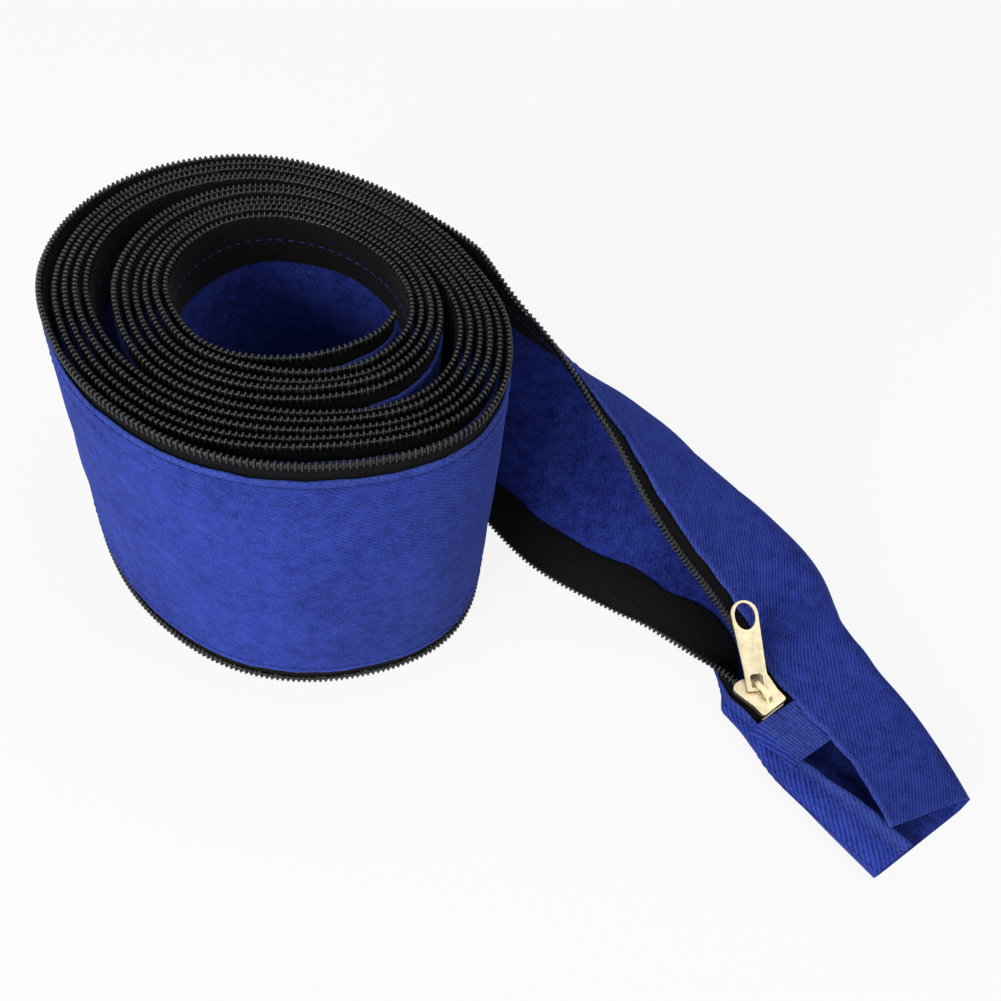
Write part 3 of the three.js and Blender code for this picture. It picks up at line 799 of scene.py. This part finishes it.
def frames(strip: Strip, stations: np.ndarray, w: float, d: float, along_x: bool,
           inwards: bool = False) -> tuple[np.ndarray, np.ndarray]:
    """Points on the strip and the angles of their own axes.

    Args:
        strip: the strip.
        stations: fractional station numbers.
        w: width in millimetres.
        d: depth in millimetres.
        along_x: if true x runs along the strip and z outwards, otherwise z runs along it and x across.
        inwards: whether z points to the inner face's side instead.

    Returns:
        Points in metres and angles about x, y and z in radians.
    """
    here = strip.point(stations, w, d)
    ahead = strip.point(stations + 0.5, w, d) - strip.point(stations - 0.5, w, d)
    ahead /= np.linalg.norm(ahead, axis=1, keepdims=True)
    out = strip.point(stations, w, d + 1) - here
    out -= ahead * (out * ahead).sum(1, keepdims=True)
    out /= np.linalg.norm(out, axis=1, keepdims=True) * (-1 if inwards else 1)
    if along_x:
        axes = np.stack([ahead, np.cross(out, ahead), out], 2)
    else:
        axes = np.stack([np.cross(out, ahead), out, ahead], 2)
    angles = np.array([Matrix(m.tolist()).to_euler()[:] for m in axes])
    return here * MM, angles


def paced(strip: Strip, w: float, d: float, step: float, first: float, last: float) -> np.ndarray:
    """Equal steps along one line of the strip.

    Args:
        strip: the strip.
        w: the line's width in millimetres.
        d: the line's depth in millimetres.
        step: length of a step in millimetres.
        first: station number where the line starts.
        last: station number where it ends.

    Returns:
        The station number of each step's middle.
    """
    grid = np.arange(first, last, 0.5)
    line = strip.point(grid, w, d)
    run = np.concatenate([[0], np.cumsum(np.linalg.norm(np.diff(line, axis=0), axis=1))])
    return np.interp(np.arange(step / 2, run[-1], step), run, grid)


def settle(piece: bpy.types.Object, body: Body, node: str | None,
           material: bpy.types.Material) -> bpy.types.Object:
    """Give a piece its material and its body, and hide the CAD node that it stands for.

    Args:
        piece: the piece.
        body: the body that it moves with.
        node: the CAD node that it stands for, if any.
        material: what it is made of.

    Returns:
        The same piece.
    """
    piece.data.materials.clear()
    piece.data.materials.append(material)
    if node:
        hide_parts(node)
    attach(piece, body.value)
    LOG.info("%s: %d faces", piece.name, len(piece.data.polygons))
    return piece


@dataclass
class SleeveCloth:
    """The twill strip, hemmed along both edges, and the tab across the slit behind the slider."""

    strip: Strip
    material: bpy.types.Material
    back_material: bpy.types.Material
    tab_material: bpy.types.Material
    edge: float = 6.5
    thickness: float = 1.0
    lip_wide: float = 3.5
    lip_from: float = 8.9
    flap_fold: float = 58
    flap_short: float = 9.0
    flap_short_over: float = 34.0
    roll_step: float = 4.5
    tail_step: float = 1.6
    tab_from: float = 8.2
    tab_to: float = 9.1
    tab_thickness: float = 0.8

    def stations(self) -> np.ndarray:
        """Rows of the strip's mesh, closer together in the run-off and tube.

        Returns:
            Their fractional station numbers.
        """
        along = self.strip.along
        split = along[np.searchsorted(self.strip.place, 0)]
        roll = np.arange(0, split, self.roll_step)
        tail = np.linspace(split, along[-1], int((along[-1] - split) / self.tail_step))
        return self.strip.index(np.concatenate([roll, tail]))

    def build(self) -> list[bpy.types.Object]:
        """Make the strip and the tab.

        Returns:
            Both pieces.
        """
        stations = self.stations()
        far = self.strip.width - self.edge
        inside = [0, 0.25, 0.8, 1.6, 2.4, 2.9, 3.4, 5, 7, 9.5, 12, 15, 18, 22, 26, 30, 34, 38]
        w = np.array([self.edge + v for v in inside] + [48, 52] + [far - v for v in reversed(inside)])
        w = np.sort(w)
        reach = np.minimum(w - self.edge, far - w)
        crown = np.interp(reach, [0, 0.25, 0.8, 1.6, 2.4, 2.9, 3.4, 7], [0.62, 0.9, 1.12, 1.1, 0.84, 0.98, 1.0, 1.0])
        under = np.interp(reach, [0, 0.25, 0.8], [0.38, 0.1, 0.0])
        s = np.interp(stations, np.arange(len(self.strip.along)), self.strip.along)
        wave = 0.28 * np.sin(s / 3.1) * np.sin(s / 11.0) + 0.18 * np.sin(s / 1.9 + 1)
        scallop = wave[:, None] * smooth((2.0 - reach) / 2.0)[None] * np.where(w < 50, 1, -1)[None]
        place = np.interp(stations, np.arange(len(self.strip.place)), self.strip.place)
        lip = smooth((place - self.lip_from) / 0.8)
        widths = w[None] + scallop - self.lip_wide * lip[:, None] * np.clip(1 - (w - self.edge) / 10, 0, 1)[None]
        outer = np.stack([widths, np.broadcast_to(crown * self.thickness, widths.shape)], 2)
        inner = np.stack([widths, np.broadcast_to(under * self.thickness, widths.shape)], 2)
        cloth = ribbon("cloth_strip", self.strip, self.shortened(stations, w, s), outer, inner)
        settle(cloth, Body.SLEEVE, "sleeve_cloth", self.material)
        cloth.data.materials.append(self.back_material)
        ring = 2 * len(w)
        back = np.zeros(len(cloth.data.polygons), dtype=np.int32)
        column = np.arange((len(stations) - 1) * ring) % ring
        back[:len(column)] = (column >= len(w)) & (column < ring - 1)
        cloth.data.polygons.foreach_set("material_index", back)
        return [cloth, self.tab()]

    def shortened(self, stations: np.ndarray, w: np.ndarray, s: np.ndarray) -> np.ndarray:
        """Station numbers for each width, where the flap stops short of the mouth's far edge.

        Args:
            stations: the rows' fractional station numbers.
            w: the columns' widths.
            s: the rows' distances along the strip.

        Returns:
            One station number for each row and column.
        """
        short = self.flap_short * np.clip((w - self.flap_fold) / (self.strip.width - self.flap_fold), 0, 1)
        near = smooth(1 - (s[-1] - s) / self.flap_short_over)
        per_mm = (stations[-1] - stations[-9]) / (s[-1] - s[-9])
        return stations[:, None] - near[:, None] * short[None] * per_mm

    def tab(self) -> bpy.types.Object:
        """Tab from under the flap's edge, across the slit, onto the lip.

        Returns:
            The piece.
        """
        ends = [self.strip.station_at(t) for t in (self.tab_from, self.tab_to)]
        rows = np.linspace(ends[0], ends[1], 22)
        path = np.array([(89, -0.75), (91.5, -0.75), (94, -0.75), (97, -0.4), (99.5, 0.1), (102, 1.0), (104.5, 1.6),
                         (107, 1.85), (110, 1.9)])
        fine = np.linspace(0, len(path) - 1, 30)
        w, d = (np.interp(fine, np.arange(len(path)), path[:, k]) for k in (0, 1))
        w = np.where(w > 100, w - 100, w)
        cross = w[:-1] > 50
        keep = np.concatenate([[True], cross | (w[1:] < 50)])
        w, d = w[keep], d[keep]
        rim = np.minimum(np.arange(len(w)), np.arange(len(w))[::-1])
        half = self.tab_thickness / 2 * np.interp(rim, [0, 1, 2], [0.35, 0.85, 1.0])
        fade = np.minimum(np.arange(len(rows)), np.arange(len(rows))[::-1])
        half = half[None] * np.interp(fade, [0, 1, 2], [0.35, 0.85, 1.0])[:, None]
        shape = (len(rows), len(w))
        outer = np.stack([np.broadcast_to(w, shape), np.broadcast_to(d, shape) + half], 2)
        inner = np.stack([np.broadcast_to(w, shape), np.broadcast_to(d, shape) - half], 2)
        piece = settle(ribbon("cloth_tab", self.strip, rows, outer, inner), Body.SLEEVE, "end_tab",
                       self.tab_material)
        return piece


@dataclass
class ZipHalf:
    """One tape with its coil, along one edge of the strip."""

    strip: Strip
    side: Side
    tape_material: bpy.types.Material
    teeth: ToothRepeater
    tape_edge: float = 1.5
    tape_width: float = 15.5
    zip_end: float = 8.12
    tooth_pitch: float = 1.6
    tape_depth: tuple[float, float] = (-0.8, -0.3)
    coil_middle: float = 1.45
    coil_depth: float = 0.12
    core_size: tuple[float, float] = (0.8, 0.36)
    tail_wave: float = 1.6

    def width(self, w: float) -> float:
        """Width on the strip of a distance from this side's edge."""
        return w if self.side is Side.LOWER else self.strip.width - w

    def build(self) -> list[bpy.types.Object]:
        """Make the tape and the coil."""
        return [self.tape(), self.coil()]

    def tape(self) -> bpy.types.Object:
        """Woven tape with slightly thinner selvedges and an uneven inner edge.

        Returns:
            The piece.
        """
        last = self.strip.station_at(self.zip_end)
        s = np.interp(last, np.arange(len(self.strip.along)), self.strip.along)
        split = self.strip.along[np.searchsorted(self.strip.place, 0)]
        stations = self.strip.index(np.concatenate([np.arange(0, split, 4.5), np.linspace(split, s, 150)]))
        reach = np.array([0, 0.3, 1.2, 1.8, 3.0, 5.0, 7.5, 10.0, 12.5, 14.2, 15.2, 15.5])
        w = np.sort([self.width(self.tape_edge + v) for v in reach])
        rim = np.minimum(w - w[0], w[-1] - w)
        inset = 0.16 * smooth((0.3 - rim) / 0.3)
        run = np.interp(stations, np.arange(len(self.strip.along)), self.strip.along)
        more = self.tail_wave if self.side is Side.LOWER else 0
        tail = 1 + more * smooth((run - split) / 20)
        wave = 0.7 * np.sin(run / 14) * np.sin(run / 37 + 1) + 0.45 * np.sin(run / 5.3) * np.sin(run / 29)
        inland = np.abs(w - self.width(self.tape_edge)) / self.tape_width
        w = w[None] + (wave * tail)[:, None] * smooth((inland - 0.6) / 0.4)[None]
        outer = np.stack([w, np.broadcast_to(self.tape_depth[1] - inset, w.shape)], 2)
        inner = np.stack([w, np.broadcast_to(self.tape_depth[0] + inset, w.shape)], 2)
        piece = ribbon(f"{self.side.value}_zip_tape", self.strip, stations, outer, inner)
        settle(piece, Body.SLEEVE, f"{self.side.value}_tape", self.tape_material)
        return piece

    def coil(self) -> bpy.types.Object:
        """Coil of wire round a dark core.

        Returns:
            The piece.
        """
        last = self.strip.station_at(self.zip_end) - 1
        w = self.width(self.coil_middle)
        stations = paced(self.strip, w, self.coil_depth, self.tooth_pitch, 1.0, last)
        points, angles = frames(self.strip, stations, w, self.coil_depth, along_x=False)
        verts, faces = self.teeth.run(points, angles)
        core = self.core(last)
        faces += [tuple(v + len(verts) for v in f) for f in core[1]]
        piece = new_piece(f"{self.side.value}_zip_coil", np.concatenate([verts, core[0]]), faces)
        return settle(piece, Body.SLEEVE, f"{self.side.value}_coil", self.teeth.material)

    def core(self, last: float) -> tuple[np.ndarray, list[tuple[int, ...]]]:
        """Six-sided core inside the wire.

        Args:
            last: station number where it ends.

        Returns:
            Its vertices in metres and its faces.
        """
        rows = np.linspace(0.5, last, 800)
        ring = np.radians(np.arange(6) * 60.0)
        w = self.width(self.coil_middle + 0.1) + self.core_size[0] * np.cos(ring)
        d = self.coil_depth + self.core_size[1] * np.sin(ring)
        points = self.strip.point(rows[:, None], w[None], d[None])
        points = points.reshape(-1, 3) * MM
        i, j = np.meshgrid(np.arange(len(rows) - 1) * 6, np.arange(6), indexing="ij")
        k = (j + 1) % 6
        sides = np.stack([i + j, i + k, i + 6 + k, i + 6 + j], -1).reshape(-1, 4)
        if enclosed(points, sides) < 0:
            sides = sides[:, ::-1]
        end = (len(rows) - 1) * 6
        caps = [tuple(range(6)), tuple(end + v for v in range(5, -1, -1))]
        if self.side is Side.UPPER:
            caps = [c[::-1] for c in caps]
        return points, [tuple(f) for f in sides.tolist()] + caps


@dataclass
class Stitching:
    """Rows of lockstitch that hold the hems and the tapes."""

    strip: Strip
    stitch: StitchRepeater
    stitch_pitch: float = 3.1
    rows: tuple[tuple[float, float], ...] = ((8.95, 0.93), (15.6, 0.93))
    inner_row: tuple[float, float] = (8.95, -0.74)

    def build(self) -> list[bpy.types.Object]:
        """Make the stitches of both long edges.

        Returns:
            One piece for each edge.
        """
        made = []
        for side in Side:
            verts, faces = [], []
            rows = self.rows + ((self.inner_row,) if side is Side.UPPER else ())
            for w, d in rows:
                w = w if side is Side.LOWER else self.strip.width - w
                last = len(self.strip.base) - (3.0 if side is Side.LOWER else 18.0)
                stations = paced(self.strip, w, d, self.stitch_pitch, 2.0, last)
                points, angles = frames(self.strip, stations, w, d, along_x=True, inwards=d < 0)
                v, f = self.stitch.run(points, angles)
                base = sum(len(x) for x in verts)
                verts.append(v)
                faces += [tuple(n + base for n in q) for q in f]
            piece = new_piece(f"{side.value}_stitches", np.concatenate(verts), faces)
            made.append(settle(piece, Body.SLEEVE, None, self.stitch.material))
        return made


@dataclass
class ZipMetal:
    """Slider and pull tab: the CAD shapes with their edges rounded."""

    material: bpy.types.Material
    edge: float = 0.00014

    def build(self) -> list[bpy.types.Object]:
        """Make both pieces."""
        return [self.rounded("slider", "slider_body", Body.SLEEVE), self.rounded("pull_tab", "pull_tag", Body.PULL)]

    def rounded(self, node: str, name: str, body: Body) -> bpy.types.Object:
        """Copy of a CAD node with small rounded edges.

        Args:
            node: the CAD node.
            name: the new piece's name.
            body: the body that it moves with.

        Returns:
            The new piece.
        """
        work = bmesh.new()
        work.from_mesh(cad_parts[node].data)
        bmesh.ops.remove_doubles(work, verts=work.verts, dist=2e-6)
        bmesh.ops.dissolve_limit(work, angle_limit=math.radians(1.0), verts=work.verts, edges=work.edges)
        mesh = bpy.data.meshes.new(name)
        work.to_mesh(mesh)
        work.free()
        piece = bpy.data.objects.new(name, mesh)
        bpy.context.scene.collection.objects.link(piece)
        bevel = piece.modifiers.new("rounding", "BEVEL")
        bevel.width, bevel.segments, bevel.limit_method = self.edge, 2, "ANGLE"
        bevel.angle_limit = math.radians(35)
        graph = bpy.context.evaluated_depsgraph_get()
        piece.data = bpy.data.meshes.new_from_object(piece.evaluated_get(graph), depsgraph=graph)
        piece.modifiers.clear()
        piece.data.shade_smooth()
        piece.data.set_sharp_from_angle(angle=math.radians(40))
        return settle(piece, body, node, self.material)


@dataclass
class Studio:
    """Floor, soft lights and the camera at the photograph's viewpoint, in the object's frame, in metres."""

    camera_at: tuple[float, float, float] = (-0.008937, -0.210489, 0.3044)
    right: tuple[float, float, float] = (0.9867, 0.1256, 0.1036)
    up: tuple[float, float, float] = (-0.1628, 0.7610, 0.6279)
    focal_share: float = 1130 / 1001

    def build(self) -> None:
        """Make the floor, the world, the lamps and the camera."""
        bpy.ops.mesh.primitive_plane_add(size=6, location=(0, 0, 0))
        floor = bpy.context.object
        floor.name = "floor"
        floor.data.materials.append(StudioFloor().make())
        self.world()
        self.lamp("key", (-0.62, -0.95, 0.50), 0.7, 13.0)
        self.lamp("fill", (0.9, -0.30, 0.8), 0.9, 2.6)
        self.lamp("top", (0.1, 0.35, 1.3), 1.0, 2.8)
        self.camera()

    def world(self) -> None:
        """White to the camera and in reflections, plain grey as a light."""
        world = bpy.data.worlds.new("studio")
        bpy.context.scene.world = world
        world.use_nodes = True
        tree = world.node_tree
        tree.nodes.clear()
        path, background = tree.nodes.new("ShaderNodeLightPath"), tree.nodes.new("ShaderNodeBackground")
        out, pick = tree.nodes.new("ShaderNodeOutputWorld"), tree.nodes.new("ShaderNodeMapRange")
        either = tree.nodes.new("ShaderNodeMath")
        third = tree.nodes.new("ShaderNodeMath")
        either.operation = third.operation = "MAXIMUM"
        tree.links.new(path.outputs["Is Camera Ray"], either.inputs[0])
        tree.links.new(path.outputs["Is Glossy Ray"], either.inputs[1])
        tree.links.new(either.outputs[0], third.inputs[0])
        tree.links.new(path.outputs["Is Transmission Ray"], third.inputs[1])
        tree.links.new(third.outputs[0], pick.inputs[0])
        background.inputs["Color"].default_value = colour(1, 1, 1)
        pick.inputs[3].default_value, pick.inputs[4].default_value = 0.26, 1.0
        tree.links.new(pick.outputs[0], background.inputs["Strength"])
        tree.links.new(background.outputs[0], out.inputs["Surface"])

    def lamp(self, name: str, place: tuple[float, float, float], size: float, power: float) -> None:
        """Large square lamp that looks at the object.

        Args:
            name: its name.
            place: where it stands, in metres.
            size: its side in metres.
            power: its power in watts.
        """
        data = bpy.data.lights.new(name, "AREA")
        data.size, data.energy = size, power
        lamp = bpy.data.objects.new(name, data)
        bpy.context.scene.collection.objects.link(lamp)
        lamp.location = place
        lamp.rotation_euler = (-Vector(place)).to_track_quat("-Z", "Y").to_euler()

    def camera(self) -> None:
        """Camera where the photograph was taken from."""
        right, up = Vector(self.right).normalized(), Vector(self.up).normalized()
        back = right.cross(up)
        data = bpy.data.cameras.new("photo")
        data.sensor_width, data.lens = 36.0, 36.0 * self.focal_share
        data.clip_start, data.clip_end = 0.01, 20
        camera = bpy.data.objects.new("photo", data)
        bpy.context.scene.collection.objects.link(camera)
        turn = Matrix((right, up, back)).transposed()
        camera.matrix_world = Matrix.Translation(self.camera_at) @ turn.to_4x4()
        bpy.context.scene.camera = camera


def main() -> None:
    """Build the sleeve in order."""
    logging.basicConfig(level=logging.INFO, format="%(message)s")
    Studio().build()
    twill, tape = Twill().make(), WovenTape().make()
    back = Twill(name="blue_twill_back", rib_share=0.16, fuzz_share=0.46, rib_angle=57.0).make()
    nylon, thread, gold = Nylon().make(), Thread().make(), PaleGold().make()
    strip = Strip()
    LOG.info("strip length %.0f mm", strip.along[-1])
    tab = Twill(name="blue_twill_tab", rib_angle=8.0, rib_share=0.70).make()
    SleeveCloth(strip, twill, back, tab).build()
    teeth = ToothRepeater("coil_teeth", {"Half width": 1.12 * MM, "Half height": 0.5 * MM,
                                         "Wire radius": 0.45 * MM, "Lean": 0.14}, nylon)
    for side in Side:
        ZipHalf(strip, side, tape, teeth).build()
    stitch = StitchRepeater("stitches", {"Half length": 1.3 * MM, "Thread radius": 0.17 * MM,
                                         "Arch": 0.34 * MM}, thread)
    Stitching(strip, stitch).build()
    ZipMetal(gold).build()
    scene = bpy.context.scene
    scene.view_settings.view_transform = "Standard"


if __name__ == "__main__":
    main()
